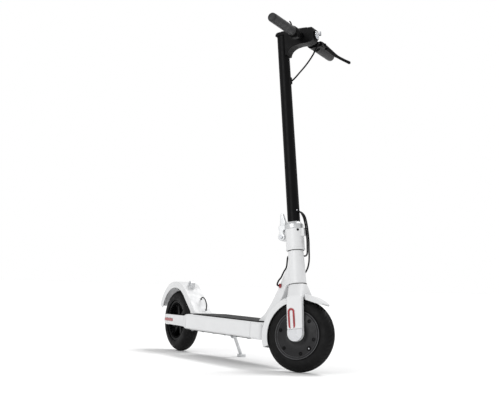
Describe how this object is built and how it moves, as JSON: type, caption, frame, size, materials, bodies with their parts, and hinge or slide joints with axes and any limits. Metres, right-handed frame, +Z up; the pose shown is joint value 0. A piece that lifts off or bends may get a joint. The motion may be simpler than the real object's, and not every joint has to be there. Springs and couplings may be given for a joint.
{
  "type": "electric kick scooter",
  "caption": "Folding electric kick scooter with a front hub motor, rear disc brake, lit steering stem, rubber-topped deck and side kickstand.",
  "frame": {"origin": "on the ground, on the centreline, midway between the wheel axles", "axes": "+X forward, +Y to the rider's left, +Z up"},
  "size_m": [1.0544, 0.3974, 1.0597],
  "materials": {
    "frame_white": "satin powder coat",
    "cover_white": "semi-gloss moulded",
    "cap_clear": "semi-gloss moulded",
    "satin_metal": "satin",
    "steel": "brushed",
    "black_metal": "satin powder coat",
    "motor_grey": "satin powder coat",
    "black_plastic": "fine texture",
    "display_gloss": "gloss",
    "lens_clear": "clear",
    "tyre_black": "moulded tread",
    "grip_rubber": "textured",
    "mat_rubber": "ribbed",
    "cable_black": "smooth",
    "reflector_red": "prismatic",
    "battery_blue": "shrink wrap",
    "controller_grey": "cast",
    "stator_steel": "laminated",
    "pad_tan": "compressed friction material",
    "kick_silver": "satin",
    "caliper_grey": "cast"
  },
  "bodies": {
    "frame": {"deck_shell": "frame_white", "neck": "frame_white", "rear_frame": "frame_white", "deck_mat": "mat_rubber", "bottom_cover": "motor_grey", "bottom_cover_screws": "steel", "battery_pack": "battery_blue", "motor_controller": "controller_grey", "charge_port": "black_plastic", "kickstand_bracket": "satin_metal", "kickstand_pin": "steel", "kickstand_spring": "steel", "arm_covers": "cover_white", "rear_reflectors": "reflector_red", "rear_fender": "cover_white", "fender_hook": "satin_metal", "tail_light": "reflector_red", "frame_cables": "cable_black", "brake_caliper": "caliper_grey", "rear_axle": "steel", "rear_axle_nuts": "steel", "headset_bearings": "steel", "steer_cables": "cable_black"},
    "rear_wheel": {"rear_rim": "black_metal", "rear_tyre": "tyre_black", "brake_disc": "steel", "rear_bearings": "steel"},
    "pad": {"moving_pad": "pad_tan"},
    "caliper_lever": {"caliper_arm": "steel"},
    "kickstand": {"kickstand_leg": "kick_silver"},
    "cap": {"port_cap": "mat_rubber"},
    "fork": {"fork": "frame_white", "fork_reflectors": "reflector_red", "axle_covers": "cap_clear", "front_fender": "cover_white", "stator_axle": "stator_steel", "motor_axle_nuts": "steel", "hinge_housing": "frame_white", "fold_pin": "steel", "fold_cables": "cable_black"},
    "front_wheel": {"hub_motor": "motor_grey", "motor_cover": "motor_grey", "motor_cover_screws": "black_metal", "front_tyre": "tyre_black"},
    "stem": {"stem_base": "satin_metal", "stem_tube": "black_metal", "bar_head": "black_metal", "display": "display_gloss", "headlight": "lens_clear", "handlebar": "black_metal", "grips": "grip_rubber", "throttle_body": "black_plastic", "brake_bracket": "black_metal", "bell": "black_metal", "stem_cables": "cable_black"},
    "latch": {"fold_latch": "satin_metal"},
    "throttle": {"throttle_lever": "black_plastic"},
    "brake_handle": {"brake_lever": "black_metal"},
    "bell_striker": {"bell_lever": "steel"},
    "button": {"power_button": "black_plastic"}
  },
  "joints": [
    {"name": "steering", "type": "hinge", "parent": "frame", "child": "fork", "pos_m": [0.4175, 0, 0.108], "axis": [-0.1891, 0, 0.982], "range_deg": [-90, 22], "deforming": ["steer_cables"]},
    {"name": "front_wheel_spin", "type": "hinge", "parent": "fork", "child": "front_wheel", "pos_m": [0.4175, 0, 0.108], "axis": [-0.5491, 0.829, -0.1057], "continuous": true},
    {"name": "rear_wheel_spin", "type": "hinge", "parent": "frame", "child": "rear_wheel", "pos_m": [-0.4175, 0, 0.108], "axis": [0, 1, 0], "continuous": true},
    {"name": "stem_fold", "type": "hinge", "parent": "fork", "child": "stem", "pos_m": [0.32864, -0.02181, 0.39844], "axis": [0.5491, -0.829, 0.1057], "range_deg": [0, 90], "deforming": ["fold_cables"]},
    {"name": "latch_open", "type": "hinge", "parent": "stem", "child": "latch", "pos_m": [0.32335, -0.02181, 0.42593], "axis": [0.5491, -0.829, 0.1057], "range_deg": [0, 95]},
    {"name": "kickstand_swing", "type": "hinge", "parent": "frame", "child": "kickstand", "pos_m": [-0.1345, 0.066, 0.074], "axis": [0.1329, 0.8889, 0.4384], "range_deg": [0, 66]},
    {"name": "brake_squeeze", "type": "hinge", "parent": "stem", "child": "brake_handle", "pos_m": [0.27374, 0.13107, 1.01213], "axis": [-0.1891, 0, 0.982], "range_deg": [0, 18], "stiffness_Nm_per_rad": 2},
    {"name": "caliper_arm_turn", "type": "hinge", "parent": "frame", "child": "caliper_lever", "pos_m": [-0.37886, 0.047, 0.1428], "axis": [0, 1, 0], "range_deg": [0, 22]},
    {"name": "pad_press", "type": "slide", "parent": "frame", "child": "pad", "axis": [0, -1, 0], "range_m": [0, 0.00035]},
    {"name": "throttle_press", "type": "hinge", "parent": "stem", "child": "throttle", "pos_m": [0.34117, -0.02581, 1.0302], "axis": [-0.5491, 0.829, -0.1057], "range_deg": [0, 35], "stiffness_Nm_per_rad": 0.3},
    {"name": "bell_flick", "type": "hinge", "parent": "stem", "child": "bell_striker", "pos_m": [0.28884, 0.08347, 1.03337], "axis": [-0.1891, 0, 0.982], "range_deg": [0, 25], "stiffness_Nm_per_rad": 0.1},
    {"name": "button_press", "type": "slide", "parent": "stem", "child": "button", "axis": [0.1891, 0, -0.982], "range_m": [0, 0.0012], "stiffness_N_per_m": 800},
    {"name": "port_cap_swing", "type": "hinge", "parent": "frame", "child": "cap", "pos_m": [0.2065, 0.07465, 0.1085], "axis": [0, 0, -1], "range_deg": [0, 110]}
  ],
  "couplings": [
    {"joint": "caliper_arm_turn", "follows": "brake_squeeze", "ratio": 1.1},
    {"joint": "pad_press", "follows": "brake_squeeze", "m_per_rad": 0.001}
  ]
}
